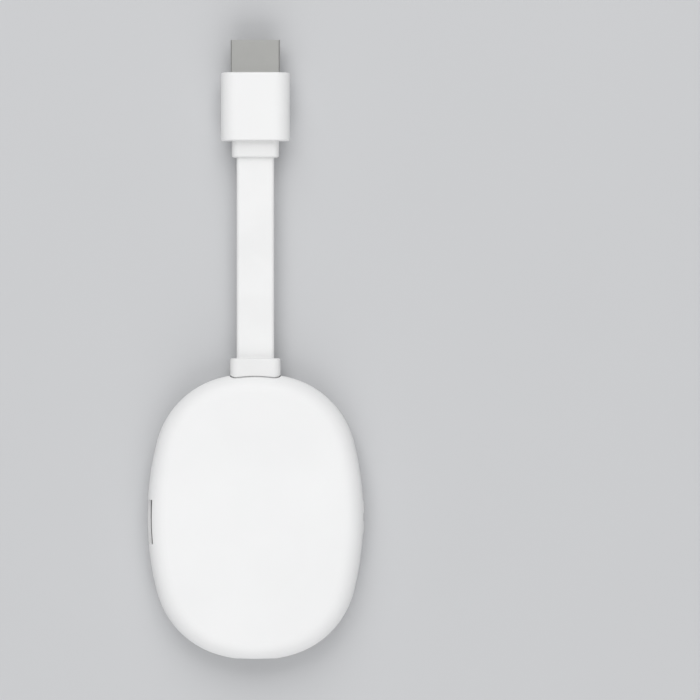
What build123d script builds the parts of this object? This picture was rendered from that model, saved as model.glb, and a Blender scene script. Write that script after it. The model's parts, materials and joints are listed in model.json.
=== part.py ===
from build123d import *
import os
from math import atan2, cos, degrees, hypot, radians, sin, sqrt, tan

# A streaming stick: a flat pebble-shaped housing and a short flat lead that ends in an HDMI plug.
# It lies on its back. +Z is the way its front face looks, +Y runs to the plug, +X is its right side.
# The origin is on the flat back, under the middle of the pebble. All sizes are in millimetres.

# Housing
body_width = 61.0
body_length = 81.0
body_thickness = 12.5
side_radius = 85.0
shoulder_radius = 25.0
end_radius = 38.0
crown_radius = 200.0
crown_band = 18.0
front_edge_radius = 5.6
rear_edge_radius = 4.5
edge_land = 0.2
wall = 1.6
lip_height = 0.9
lip_width = 0.65
lip_ledge = 0.15
lip_gap = 0.08
seam_height = 0.15
seam_depth = 0.25
seat_depth = 2.7

# Gaps: between moulded pieces, between a sheet and what it wraps, and round a board
fit_gap = 0.1
snug_gap = 0.03
board_gap = 0.3
fine_corner = 0.12

# Lead, and the collars at its two ends
lead_width = 10.6
lead_thickness = 2.8
lead_corner = 1.0
lead_skin = 0.75
free_lead = 56.7
bare_wire = 1.3
wire_count = 8
wire_diameter = 0.9
wire_pitch = 1.1
collar_width = 14.2
collar_height = 7.0
collar_corner = 2.2
collar_reach = 4.2
collar_edge = 0.6
collar_line_width = 0.25
collar_line_depth = 0.4
neck_width = 12.2
neck_height = 4.2
neck_corner = 1.2
neck_length = 1.2
flange_length = 1.4
lead_seat_width = 20.0
lead_seat_depth = 4.2
plug_collar_width = 13.3
plug_collar_height = 5.2
plug_collar_corner = 1.8
plug_collar_reach = 4.7

# Plug
boot_width = 19.5
boot_height = 9.6
boot_length = 19.2
boot_corner = 4.5
boot_edge = 0.5
boot_side_wall = 1.7
boot_face_wall = 1.3
boot_back_wall = 2.0
boot_front_wall = 1.2
boot_room_corner = 1.6
hdmi_width = 13.9
hdmi_height = 4.45
hdmi_slant_width = 1.5
hdmi_slant_height = 1.7
hdmi_corner = 0.45
hdmi_sheet = 0.4
hdmi_exposed = 9.2
hdmi_buried = 7.2
hdmi_slot_width = 11.0
hdmi_slot_height = 1.9
hdmi_slot_depth = 8.0
hdmi_lead_in = 0.5
hdmi_pin_width = 0.4
hdmi_pin_sheet = 0.15
hdmi_pin_pitch = 1.0
hdmi_pin_counts = (10, 9)
hdmi_tail_length = 1.6
plug_board_width = 13.0
plug_board_length = 4.6
plug_board_thickness = 0.8
can_sheet = 0.3

# Main board, its screws, and the spreaders above and below it
board_thickness = 1.0
screw_head_radius = 1.4
screw_head_height = 0.8
screw_radius = 0.7
screw_hole_radius = 0.9
recess_length = 1.7
recess_width = 0.35
screw_floor = 0.7
boss_radius = 2.1
screw_land = 2.6
screw_angle = 30.0
spreader_width = 38.0
spreader_length = 44.0
spreader_corner = 5.0
spreader_sheet = 1.0
spreader_drop = 1.2
stake_radius = 1.6
stake_pin_radius = 0.75
stake_inset = 4.0
rear_spreader_width = 32.0
rear_spreader_length = 42.0
rear_spreader_corner = 4.0
rear_spreader_sheet = 0.5

# Packages on the board: place of the middle, then sizes along X, Y and Z
package_bevel = 0.1
inductor_bevel = 0.4
shield_x = 5.0
shield_y = 8.0
shield_width = 22.0
shield_length = 28.0
shield_height = 2.1
shield_sheet = 0.25
shield_corner = 0.8
processor_size = 14.0
processor_height = 1.0
processor_drop = 6.0
memory_width = 9.6
memory_length = 7.5
memory_height = 0.9
memory_rise = 7.5
memory_gap = 0.8
flash_place = (-2.0, -14.2)
flash_width = 11.5
flash_length = 13.0
flash_height = 0.9
power_chip_places = ((-12.5, -14.0), (8.5, -14.0), (14.0, -21.0))
power_chip_size = 4.0
power_chip_height = 0.8
inductor_places = ((-12.5, -20.5), (8.5, -20.5), (15.0, -14.5))
inductor_size = 4.2
inductor_height = 2.0
crystal_inset = 10.0
crystal_y = -9.5
crystal_width = 3.2
crystal_length = 2.5
crystal_height = 0.7
left_capacitor_count = 8
right_capacitor_count = 6
capacitor_standoff = 3.0
left_capacitor_rise = 6.0
right_capacitor_rise = 4.0
capacitor_pitch = 2.2
capacitor_width = 1.0
capacitor_length = 0.6
capacitor_height = 0.5
wifi_standoff = 5.0
wifi_end_inset = 24.5
wifi_width = 11.0
wifi_length = 12.0
wifi_board = 0.6
wifi_height = 1.9
wifi_border = 0.4
wifi_corner = 0.6
antenna_x = 14.0
antenna_inset = 11.8
antenna_width = 9.0
antenna_depth = 4.0
antenna_height = 3.6
antenna_sheet = 0.3
antenna_foot = 1.2
connector_width = 12.0
connector_length = 4.0
connector_bite = 0.8

# Power port
usb_width = 8.94
usb_height = 3.16
usb_depth = 7.35
usb_sheet = 0.3
usb_recess = 0.8
usb_leg_width = 1.2
usb_leg_sheet = 0.3
usb_leg_offsets = (3.4, 6.2)
usb_core_depth = 1.9
usb_tongue_width = 6.69
usb_tongue_height = 0.7
usb_tongue_back = 0.7
usb_pin_count = 12
usb_pin_pitch = 0.5
usb_pin_width = 0.25
usb_pin_sheet = 0.1
usb_pin_back = 0.5
dish_width = 12.0
dish_height = 5.6
dish_depth = 0.5
port_seat_width = 17.0

# Card slot and its finger notch
card_y = -1.5
notch_length = 12.6
notch_depth = 1.36
slot_length = 11.6
slot_lift = 0.35
groove_width = 0.45
groove_depth = 2.0
groove_ridge = 0.25
scoop_slope = 60.0
card_seat_length = 18.0
socket_width = 13.0
socket_depth = 14.0
socket_height = 1.55
socket_sheet = 0.2
socket_floor = 0.5
socket_wall = 0.6
socket_pin_count = 8
socket_pin_pitch = 1.1
socket_pin_width = 0.6
socket_pin_length = 4.5
socket_pin_sheet = 0.15

# Side button and its switch
button_y = -0.2
button_length = 9.2
button_height = 2.0
button_proud = 0.15
button_gap = 0.15
button_travel = 0.3
button_dent_depth = 0.35
button_dent_length = 2.4
button_flange = 0.8
button_flange_length = 10.6
button_flange_height = 2.7
button_seat_length = 15.0
switch_length = 6.0
switch_depth = 3.4
switch_height = 1.7
plunger_length = 2.0
plunger_height = 1.0
plunger_reach = 1.3
plunger_bite = 0.9

# Status light beside the port
light_x = -7.2
light_inset = 6.0
light_width = 1.6
light_length = 1.0
light_height = 0.7
pipe_radius = 0.7
pipe_flange_radius = 1.0
pipe_flange = 0.6

# Places that follow from the sizes above
outside = 1.0
half_width = body_width / 2
half_length = body_length / 2
mid_height = body_thickness / 2
board_top = mid_height - usb_height / 2
board_bottom = board_top - board_thickness
board_inset = seat_depth + board_gap
band = min(crown_band, 0.8 * shoulder_radius)
button_corner = 0.4 * button_height
pipe_point = 0.4 * pipe_radius
crown_drop = crown_radius - sqrt(crown_radius**2 - (band - front_edge_radius) ** 2)
front_edge = min(front_edge_radius, body_thickness - mid_height - crown_drop - edge_land)
rear_edge = min(rear_edge_radius, mid_height - edge_land)
spreader_top = body_thickness - wall - spreader_drop
spreader_bottom = spreader_top - spreader_sheet
shield_top = board_top + shield_height
lid_edge = board_top + shield_height / 3
side_seat = half_width - seat_depth
port_seat = half_length - seat_depth
flange_start = half_length - lead_seat_depth
flange_end = flange_start + flange_length
collar_start = flange_end + neck_length
collar_end = half_length + collar_reach
jacket_start = flange_start - fit_gap
connector_front = jacket_start - bare_wire
plug_collar_start = collar_end + free_lead
boot_start = plug_collar_start + plug_collar_reach
boot_end = boot_start + boot_length
boot_room_start = boot_start + boot_back_wall
boot_room_end = boot_end - boot_front_wall
boot_room_width = boot_width - 2 * boot_side_wall
boot_room_height = boot_height - 2 * boot_face_wall
plug_flange_end = boot_room_start + flange_length
plug_board_start = plug_flange_end + can_sheet + board_gap
plug_board_end = plug_board_start + plug_board_length
shell_back = boot_end - hdmi_buried
shell_tip = boot_end + hdmi_exposed
stake_places = [
    (sign_x * (spreader_width / 2 - stake_inset), sign_y * (spreader_length / 2 - stake_inset))
    for sign_x in (-1, 1)
    for sign_y in (-1, 1)
]

os.makedirs("parts", exist_ok=True)


# The shoulder arc touches the side arc and the end arc from inside. Its centre is as far from each of
# their centres as its radius is shorter than theirs.
side_centre_x = half_width - side_radius
end_centre_y = half_length - end_radius
centre_span = hypot(side_centre_x, end_centre_y)
from_side = side_radius - shoulder_radius
from_end = end_radius - shoulder_radius
foot = (from_side**2 - from_end**2 + centre_span**2) / (2 * centre_span)
rise = sqrt(from_side**2 - foot**2)
shoulder_x = side_centre_x - (side_centre_x * foot + end_centre_y * rise) / centre_span
shoulder_y = (end_centre_y * foot - side_centre_x * rise) / centre_span
side_angle = degrees(atan2(shoulder_y, shoulder_x - side_centre_x))
end_angle = degrees(atan2(shoulder_y - end_centre_y, shoulder_x))

# The board's screws stand inside its edge, on a line from each shoulder arc's centre
screw_reach = shoulder_radius - board_inset - screw_land
screw_x = shoulder_x + screw_reach * cos(radians(screw_angle))
screw_y = shoulder_y + screw_reach * sin(radians(screw_angle))
screw_places = [(sign_x * screw_x, sign_y * screw_y) for sign_x in (-1, 1) for sign_y in (-1, 1)]


def pebble_arcs(inset):
    """The pebble's outline from above, drawn in by inset: ten arcs, each tangent to the next."""
    side = side_radius - inset
    shoulder = shoulder_radius - inset
    shoulder_turn = end_angle - side_angle
    for turn, sign in ((0, 1), (180, -1)):
        x = sign * shoulder_x
        y = sign * shoulder_y
        CenterArc((sign * side_centre_x, 0), side, turn, side_angle)
        CenterArc((x, y), shoulder, turn + side_angle, shoulder_turn)
        CenterArc((0, sign * end_centre_y), end_radius - inset, turn + end_angle, 180 - 2 * end_angle)
        CenterArc((-x, y), shoulder, turn + 180 - end_angle, shoulder_turn)
        CenterArc((-sign * side_centre_x, 0), side, turn + 180 - side_angle, side_angle)


def pebble_outline(inset, mode=Mode.ADD):
    """Face inside the outline."""
    with BuildLine() as outline:
        pebble_arcs(inset)
    make_face(outline.edges(), mode=mode)


def pebble(inset):
    """The pebble's volume, drawn in by inset all round: a rim swept round the outline, and a flat middle.

    The rim falls away over the crown band, then turns down in the front edge and under in the rear edge.
    """
    flat_from = half_width - band
    crown_z = body_thickness - crown_radius
    edge_rise = sqrt((crown_radius - front_edge) ** 2 - (band - front_edge) ** 2)
    edge_z = crown_z + edge_rise
    lean = degrees(atan2(edge_rise, band - front_edge))
    foot_x = half_width - rear_edge
    with BuildLine() as path:
        pebble_arcs(0)
    with BuildPart() as volume:
        with BuildSketch(Plane.XZ) as rim:
            with BuildLine() as section:
                CenterArc((flat_from, crown_z), crown_radius - inset, lean, 90 - lean)
                CenterArc((half_width - front_edge, edge_z), front_edge - inset, 0, lean)
                Line((half_width - inset, edge_z), (half_width - inset, rear_edge))
                CenterArc((foot_x, rear_edge), rear_edge - inset, -90, 90)
                Line((foot_x, inset), (flat_from, inset))
                Line((flat_from, inset), (flat_from, body_thickness - inset))
            make_face(section.edges())
        sweep(rim.sketch, path=path.wire(), clean=False)
        with BuildSketch(Plane.XY.offset(inset)) as middle:
            pebble_outline(band)
        extrude(middle.sketch, amount=body_thickness - 2 * inset)
    return volume.part


def across(y):
    """Plane square to the lead at y, with X and Z as its own axes. A negative extrude runs to the plug."""
    return Plane.XZ.offset(-y)


def bar(start, end, width, height, corner, mode=Mode.ADD):
    """A bar along the lead from start to end, centred at mid height, with rounded long edges."""
    with BuildSketch(across(start)) as section:
        with Locations((0, mid_height)):
            RectangleRounded(width, height, min(corner, 0.49 * height))
    extrude(section.sketch, amount=start - end, mode=mode)


def brick(low, high, mode=Mode.ADD):
    """A box between two opposite corners."""
    middle = [(a + b) / 2 for a, b in zip(low, high)]
    with Locations(tuple(middle)):
        Box(*[b - a for a, b in zip(low, high)], mode=mode)


def rim_ring(gap, inner):
    """The tongue under the front cover's rim, or with a gap the rear cover's groove for it."""
    with BuildSketch(Plane.XY.offset(mid_height - lip_height - gap)) as ring:
        pebble_outline(wall - lip_ledge - lip_width - gap)
        pebble_outline(inner, mode=Mode.SUBTRACT)
        with Locations((-half_width, card_y)):
            Rectangle(4 * seat_depth, notch_length + 2 * wall - 2 * gap, mode=Mode.SUBTRACT)
    return ring.sketch


def cut_lead_exit():
    """Stepped way out for the housing grommet: a pocket, a neck and the collar's mouth."""
    gap = fit_gap
    bar(flange_start - outside, flange_end + gap, collar_width + 2 * gap, collar_height + 2 * gap,
        collar_corner, mode=Mode.SUBTRACT)
    bar(flange_end, collar_start, neck_width + 2 * gap, neck_height + 2 * gap,
        neck_corner, mode=Mode.SUBTRACT)
    bar(collar_start - gap, half_length + outside, collar_width + 2 * gap, collar_height + 2 * gap,
        collar_corner, mode=Mode.SUBTRACT)


def cut_power_port():
    """Hole for the USB-C shell with a shallow dish round its mouth, and the light pipe's hole beside it."""
    rim = Plane.XZ.offset(half_length + outside)
    with BuildSketch(rim) as holes:
        with Locations((0, mid_height)):
            SlotOverall(usb_width + 2 * fit_gap, usb_height + 2 * fit_gap)
        with Locations((light_x, mid_height)):
            Circle(pipe_radius + fit_gap)
    extrude(holes.sketch, amount=-(seat_depth + 2 * outside), mode=Mode.SUBTRACT)
    with BuildSketch(rim) as dish:
        with Locations((0, mid_height)):
            SlotOverall(dish_width, dish_height)
    extrude(dish.sketch, amount=-(outside + dish_depth), mode=Mode.SUBTRACT)


def cut_card_slot():
    """Finger scoop in the left edge, the card's slot behind it and a nail groove along its inner side."""
    floor = board_top + slot_lift
    back = notch_depth - half_width
    slope_start = back - groove_width - groove_ridge
    slope_end = -half_width - outside
    slope_fall = (slope_start - slope_end) * tan(radians(scoop_slope))
    with BuildSketch(Plane.XY.offset(floor)) as notch:
        with Locations((-half_width - outside, card_y)):
            Rectangle(half_width, notch_length)
        pebble_outline(notch_depth, mode=Mode.SUBTRACT)
    extrude(notch.sketch, amount=body_thickness, mode=Mode.SUBTRACT)
    with BuildSketch(Plane.XY.offset(floor - groove_depth)) as groove:
        pebble_outline(notch_depth - groove_width)
        pebble_outline(notch_depth, mode=Mode.SUBTRACT)
        with Locations((-half_width - outside, card_y)):
            Rectangle(half_width, notch_length, mode=Mode.INTERSECT)
    extrude(groove.sketch, amount=groove_depth, mode=Mode.SUBTRACT)
    with BuildSketch(across(card_y + notch_length / 2)) as scoop:
        Polygon((slope_start, floor), (slope_end, floor), (slope_end, floor - slope_fall), align=None)
    extrude(scoop.sketch, amount=notch_length, mode=Mode.SUBTRACT)
    brick(
        (back - outside / 2, card_y - slot_length / 2, floor),
        (outside - side_seat, card_y + slot_length / 2, mid_height),
        mode=Mode.SUBTRACT,
    )


def cut_button_hole():
    """Hole in the right edge that the button slides in."""
    with BuildSketch(Plane.YZ.offset(half_width + outside)) as hole:
        with Locations((button_y, mid_height)):
            RectangleRounded(
                button_length + 2 * button_gap, button_height + 2 * button_gap, button_corner
            )
    extrude(hole.sketch, amount=-(seat_depth + 2 * outside), mode=Mode.SUBTRACT)


# The pebble's own volume, and the room inside it. Flat seats are left standing at the lead, the port,
# the card slot and the button, with stakes for the front spreader and bosses for the board.
outer_volume = pebble(0)

with BuildPart() as room:
    add(pebble(wall))
    far = body_length
    brick(
        (-lead_seat_width / 2, flange_start, 0),
        (lead_seat_width / 2, far, body_thickness),
        mode=Mode.SUBTRACT,
    )
    brick(
        (-port_seat_width / 2, -far, 0),
        (port_seat_width / 2, -port_seat, body_thickness),
        mode=Mode.SUBTRACT,
    )
    brick(
        (-far, card_y - card_seat_length / 2, 0),
        (-side_seat, card_y + card_seat_length / 2, body_thickness),
        mode=Mode.SUBTRACT,
    )
    brick(
        (side_seat, button_y - button_seat_length / 2, 0),
        (far, button_y + button_seat_length / 2, body_thickness),
        mode=Mode.SUBTRACT,
    )
    with BuildSketch(Plane.XY.offset(spreader_top)):
        with Locations(*stake_places):
            Circle(stake_radius)
    extrude(amount=body_thickness, mode=Mode.SUBTRACT)
    with BuildSketch(Plane.XY):
        with Locations(*screw_places):
            Circle(boss_radius)
    extrude(amount=board_bottom, mode=Mode.SUBTRACT)

with BuildPart() as front_cover:
    add(outer_volume)
    add(room.part, mode=Mode.SUBTRACT)
    split(bisect_by=Plane.XY.offset(mid_height), keep=Keep.TOP)
    extrude(rim_ring(0, wall - lip_ledge), amount=lip_height)
    with BuildSketch(Plane.XY.offset(spreader_bottom)):
        with Locations(*stake_places):
            Circle(stake_pin_radius)
    extrude(amount=spreader_sheet)
    cut_lead_exit()
    cut_power_port()
    cut_card_slot()
    cut_button_hole()

front_cover.part.label = "front_cover"
export_step(front_cover.part, "parts/front_cover.step")

with BuildPart() as rear_cover:
    add(outer_volume)
    add(room.part, mode=Mode.SUBTRACT)
    split(bisect_by=Plane.XY.offset(mid_height), keep=Keep.BOTTOM)
    extrude(rim_ring(lip_gap, wall + lip_ledge), amount=lip_height + lip_gap, mode=Mode.SUBTRACT)
    with BuildSketch(Plane.XY.offset(screw_floor)):
        with Locations(*screw_places):
            Circle(screw_radius + snug_gap)
    extrude(amount=board_bottom - screw_floor, mode=Mode.SUBTRACT)
    # A fine shadow line round the joint between the two covers
    with BuildSketch(Plane.XY.offset(mid_height - seam_height)) as seam:
        pebble_outline(-outside)
        pebble_outline(seam_depth, mode=Mode.SUBTRACT)
    extrude(seam.sketch, amount=seam_height, mode=Mode.SUBTRACT)
    cut_lead_exit()
    cut_power_port()
    cut_card_slot()
    cut_button_hole()

rear_cover.part.label = "rear_cover"
export_step(rear_cover.part, "parts/rear_cover.step")


# Lead
with BuildPart() as housing_grommet:
    bar(collar_start, collar_end, collar_width, collar_height, collar_corner)
    fillet(housing_grommet.faces().sort_by(Axis.Y)[-1].edges(), collar_edge)
    # A fine shadow line where the collar meets the covers, with a waist behind it
    add(pebble(-collar_line_width), mode=Mode.SUBTRACT)
    bar(collar_start, half_length + collar_line_width, collar_width - 2 * collar_line_depth,
        collar_height - 2 * collar_line_depth, collar_corner)
    bar(flange_end, collar_start, neck_width, neck_height, neck_corner)
    bar(flange_start, flange_end, collar_width, collar_height, collar_corner)
    bar(flange_start, collar_end, lead_width + 2 * snug_gap, lead_thickness + 2 * snug_gap,
        lead_corner, mode=Mode.SUBTRACT)

housing_grommet.part.label = "housing_grommet"
export_step(housing_grommet.part, "parts/housing_grommet.step")

with BuildPart() as lead_jacket:
    bar(jacket_start, plug_flange_end, lead_width, lead_thickness, lead_corner)
    bar(jacket_start, plug_flange_end, lead_width - 2 * lead_skin, lead_thickness - 2 * lead_skin,
        lead_corner, mode=Mode.SUBTRACT)

lead_jacket.part.label = "lead_jacket"
export_step(lead_jacket.part, "parts/lead_jacket.step")

with BuildPart() as lead_conductors:
    with BuildSketch(across(connector_front - connector_bite)):
        with Locations((0, mid_height)):
            with GridLocations(wire_pitch, wire_pitch, wire_count, 1):
                Circle(wire_diameter / 2)
    extrude(amount=connector_front - connector_bite - plug_board_start)

lead_conductors.part.label = "lead_conductors"
export_step(lead_conductors.part, "parts/lead_conductors.step")

with BuildPart() as plug_grommet:
    bar(plug_collar_start, boot_room_start, plug_collar_width, plug_collar_height, plug_collar_corner)
    fillet(plug_grommet.faces().sort_by(Axis.Y)[0].edges(), collar_edge)
    bar(boot_room_start, plug_flange_end, boot_room_width - 2 * fit_gap, boot_room_height - 2 * fit_gap,
        boot_room_corner)
    bar(plug_collar_start, plug_flange_end, lead_width + 2 * snug_gap, lead_thickness + 2 * snug_gap,
        lead_corner, mode=Mode.SUBTRACT)

plug_grommet.part.label = "plug_grommet"
export_step(plug_grommet.part, "parts/plug_grommet.step")


# Plug
def hdmi_section(y, grown=0.0):
    """Cross-section of the plug's shell at y, grown on every side: the two rear corners are slanted off."""
    side = hdmi_width / 2
    top = hdmi_height / 2
    slant_top = hdmi_slant_height - top
    slant_side = side - hdmi_slant_width
    with BuildSketch(across(y)) as section:
        with Locations((0, mid_height)):
            Polygon(
                (-side, top), (-side, slant_top), (-slant_side, -top),
                (slant_side, -top), (side, slant_top), (side, top),
                align=None,
            )
        if grown:
            offset(amount=grown, kind=Kind.INTERSECTION)
        fillet(section.vertices(), hdmi_corner)
    return section.sketch


with BuildPart() as plug_boot:
    bar(boot_start, boot_end, boot_width, boot_height, boot_corner)
    fillet(plug_boot.faces().sort_by(Axis.Y)[0].edges(), boot_edge)
    fillet(plug_boot.faces().sort_by(Axis.Y)[-1].edges(), boot_edge)
    bar(boot_room_start, boot_room_end, boot_room_width, boot_room_height,
        boot_room_corner, mode=Mode.SUBTRACT)
    bar(boot_start, boot_room_start, plug_collar_width + 2 * snug_gap, plug_collar_height + 2 * snug_gap,
        plug_collar_corner, mode=Mode.SUBTRACT)
    extrude(hdmi_section(boot_room_end, snug_gap), amount=-boot_front_wall, mode=Mode.SUBTRACT)

plug_boot.part.label = "plug_boot"
export_step(plug_boot.part, "parts/plug_boot.step")

with BuildPart() as hdmi_shell:
    extrude(hdmi_section(shell_back), amount=shell_back - shell_tip)
    extrude(hdmi_section(shell_back, -hdmi_sheet), amount=shell_back - shell_tip, mode=Mode.SUBTRACT)

hdmi_shell.part.label = "hdmi_shell"
export_step(hdmi_shell.part, "parts/hdmi_shell.step")

slot_mouth = shell_tip - hdmi_lead_in
slot_end = slot_mouth - hdmi_slot_depth

with BuildPart() as hdmi_insulator:
    extrude(hdmi_section(plug_board_end, -hdmi_sheet - snug_gap), amount=plug_board_end - slot_mouth)
    bar(slot_end, slot_mouth, hdmi_slot_width, hdmi_slot_height, fine_corner, mode=Mode.SUBTRACT)

hdmi_insulator.part.label = "hdmi_insulator"
export_step(hdmi_insulator.part, "parts/hdmi_insulator.step")

with BuildPart() as hdmi_contacts:
    # One contact more above than below, half a pitch apart, each with its tail on the small board
    for count, side in zip(hdmi_pin_counts, (1, -1)):
        slot_face = mid_height + side * (hdmi_slot_height - hdmi_pin_sheet) / 2
        board_face = mid_height + side * (plug_board_thickness + hdmi_pin_sheet) / 2
        with BuildSketch(across(slot_end)):
            with Locations((0, slot_face)):
                with GridLocations(hdmi_pin_pitch, hdmi_pin_pitch, count, 1):
                    Rectangle(hdmi_pin_width, hdmi_pin_sheet)
        extrude(amount=hdmi_lead_in - hdmi_slot_depth)
        with BuildSketch(across(plug_board_end)):
            with Locations((0, board_face)):
                with GridLocations(hdmi_pin_pitch, hdmi_pin_pitch, count, 1):
                    Rectangle(hdmi_pin_width, hdmi_pin_sheet)
        extrude(amount=hdmi_tail_length)

hdmi_contacts.part.label = "hdmi_contacts"
export_step(hdmi_contacts.part, "parts/hdmi_contacts.step")

with BuildPart() as plug_board:
    bar(plug_board_start, plug_board_end, plug_board_width, plug_board_thickness, fine_corner)

plug_board.part.label = "plug_board"
export_step(plug_board.part, "parts/plug_board.step")

can_end = shell_back - fit_gap
can_width = boot_room_width - 2 * fit_gap
can_height = boot_room_height - 2 * fit_gap

with BuildPart() as plug_shield_can:
    bar(plug_flange_end, can_end, can_width, can_height, boot_room_corner)
    bar(plug_flange_end + can_sheet, can_end, can_width - 2 * can_sheet, can_height - 2 * can_sheet,
        boot_room_corner - can_sheet, mode=Mode.SUBTRACT)
    bar(plug_flange_end, plug_flange_end + can_sheet, lead_width, lead_thickness,
        lead_corner, mode=Mode.SUBTRACT)

plug_shield_can.part.label = "plug_shield_can"
export_step(plug_shield_can.part, "parts/plug_shield_can.step")

with BuildPart() as plug_inner_mould:
    bar(shell_back, boot_room_end - fit_gap, can_width, can_height, boot_room_corner)
    extrude(hdmi_section(shell_back, snug_gap), amount=shell_back - boot_end, mode=Mode.SUBTRACT)

plug_inner_mould.part.label = "plug_inner_mould"
export_step(plug_inner_mould.part, "parts/plug_inner_mould.step")


# Main board and its screws
with BuildPart() as main_board:
    with BuildSketch(Plane.XY.offset(board_bottom)):
        pebble_outline(board_inset)
        with Locations((0, half_length)):
            Rectangle(
                lead_seat_width + 2 * board_gap, 2 * (lead_seat_depth + board_gap), mode=Mode.SUBTRACT
            )
        with Locations(*screw_places):
            Circle(screw_hole_radius, mode=Mode.SUBTRACT)
    extrude(amount=board_thickness)

main_board.part.label = "main_board"
export_step(main_board.part, "parts/main_board.step")

with BuildPart() as board_screws:
    with BuildSketch(Plane.XY.offset(board_top)):
        with Locations(*screw_places):
            Circle(screw_head_radius)
    extrude(amount=screw_head_height)
    with BuildSketch(Plane.XY.offset(board_top)):
        with Locations(*screw_places):
            Circle(screw_radius)
    extrude(amount=screw_floor + snug_gap - board_top)
    # Cross recess in each head
    with BuildSketch(Plane.XY.offset(board_top + screw_head_height / 2)):
        with Locations(*screw_places):
            Rectangle(recess_length, recess_width)
            Rectangle(recess_width, recess_length)
    extrude(amount=screw_head_height, mode=Mode.SUBTRACT)

board_screws.part.label = "board_screws"
export_step(board_screws.part, "parts/board_screws.step")


def packages(places, width, length, height, bevel=package_bevel):
    """Flat packages that stand on the board at the places, with a small bevel round their tops."""
    with BuildPart() as group:
        with BuildSketch(Plane.XY.offset(board_top)):
            with Locations(*places):
                Rectangle(width, length)
        extrude(amount=height)
        chamfer(group.faces().filter_by(Axis.Z).group_by(Axis.Z)[-1].edges(), bevel)
    return group


processor_place = (shield_x, shield_y - processor_drop)
processor = packages([processor_place], processor_size, processor_size, processor_height)
processor.part.label = "processor"
export_step(processor.part, "parts/processor.step")

memory_step = (memory_width + memory_gap) / 2
memory_places = [(shield_x + side * memory_step, shield_y + memory_rise) for side in (-1, 1)]
memory_chips = packages(memory_places, memory_width, memory_length, memory_height)
memory_chips.part.label = "memory_chips"
export_step(memory_chips.part, "parts/memory_chips.step")

flash_chip = packages([flash_place], flash_width, flash_length, flash_height)
flash_chip.part.label = "flash_chip"
export_step(flash_chip.part, "parts/flash_chip.step")

power_chips = packages(power_chip_places, power_chip_size, power_chip_size, power_chip_height)
power_chips.part.label = "power_chips"
export_step(power_chips.part, "parts/power_chips.step")

power_inductors = packages(inductor_places, inductor_size, inductor_size, inductor_height, inductor_bevel)
power_inductors.part.label = "power_inductors"
export_step(power_inductors.part, "parts/power_inductors.step")

crystal_place = (half_width - crystal_inset, crystal_y)
crystal = packages([crystal_place], crystal_width, crystal_length, crystal_height)
crystal.part.label = "crystal"
export_step(crystal.part, "parts/crystal.step")

capacitor_x = shield_width / 2 + capacitor_standoff
capacitor_places = [
    (shield_x + side * capacitor_x, shield_y + rise + capacitor_pitch * (index - (count - 1) / 2))
    for side, rise, count in (
        (-1, left_capacitor_rise, left_capacitor_count),
        (1, right_capacitor_rise, right_capacitor_count),
    )
    for index in range(count)
]
board_capacitors = packages(capacitor_places, capacitor_width, capacitor_length, capacitor_height)
board_capacitors.part.label = "board_capacitors"
export_step(board_capacitors.part, "parts/board_capacitors.step")


# Shield over the processor and memory, and the path that takes their heat out
def shield_slab(low, high, inset, mode=Mode.ADD):
    """A slab of the shield's plan between two heights, drawn in by inset."""
    with BuildSketch(Plane.XY.offset(low)) as plan:
        with Locations((shield_x, shield_y)):
            RectangleRounded(
                shield_width - 2 * inset, shield_length - 2 * inset, max(shield_corner - inset, fine_corner)
            )
    extrude(plan.sketch, amount=high - low, mode=mode)


lid_bottom = shield_top - shield_sheet
frame_inset = shield_sheet + snug_gap

with BuildPart() as shield_frame:
    shield_slab(board_top, lid_bottom, frame_inset)
    shield_slab(board_top, lid_bottom, frame_inset + shield_sheet, mode=Mode.SUBTRACT)

shield_frame.part.label = "shield_frame"
export_step(shield_frame.part, "parts/shield_frame.step")

with BuildPart() as shield_lid:
    shield_slab(lid_edge, shield_top, 0)
    shield_slab(lid_edge, lid_bottom, shield_sheet, mode=Mode.SUBTRACT)

shield_lid.part.label = "shield_lid"
export_step(shield_lid.part, "parts/shield_lid.step")


def pad(low, high):
    """Soft pad over or under the processor, between two heights."""
    with BuildPart() as slab:
        with BuildSketch(Plane.XY.offset(low)):
            with Locations(processor_place):
                Rectangle(processor_size, processor_size)
        extrude(amount=high - low)
    return slab


processor_thermal_pad = pad(board_top + processor_height, lid_bottom)
processor_thermal_pad.part.label = "processor_thermal_pad"
export_step(processor_thermal_pad.part, "parts/processor_thermal_pad.step")

shield_thermal_pad = pad(shield_top, spreader_bottom)
shield_thermal_pad.part.label = "shield_thermal_pad"
export_step(shield_thermal_pad.part, "parts/shield_thermal_pad.step")

rear_thermal_pad = pad(wall + rear_spreader_sheet, board_bottom)
rear_thermal_pad.part.label = "rear_thermal_pad"
export_step(rear_thermal_pad.part, "parts/rear_thermal_pad.step")

with BuildPart() as front_heat_spreader:
    with BuildSketch(Plane.XY.offset(spreader_bottom)):
        RectangleRounded(spreader_width, spreader_length, spreader_corner)
        with Locations(*stake_places):
            Circle(stake_pin_radius + snug_gap, mode=Mode.SUBTRACT)
    extrude(amount=spreader_sheet)

front_heat_spreader.part.label = "front_heat_spreader"
export_step(front_heat_spreader.part, "parts/front_heat_spreader.step")

with BuildPart() as rear_heat_spreader:
    with BuildSketch(Plane.XY.offset(wall)):
        RectangleRounded(rear_spreader_width, rear_spreader_length, rear_spreader_corner)
    extrude(amount=rear_spreader_sheet)

rear_heat_spreader.part.label = "rear_heat_spreader"
export_step(rear_heat_spreader.part, "parts/rear_heat_spreader.step")


# Wireless module, its shield and the two antennas
wifi_x = shield_x - shield_width / 2 - wifi_standoff - wifi_width / 2
wifi_place = (wifi_x, half_length - wifi_end_inset)
wifi_module = packages([wifi_place], wifi_width, wifi_length, wifi_board)
wifi_module.part.label = "wifi_module"
export_step(wifi_module.part, "parts/wifi_module.step")

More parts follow.
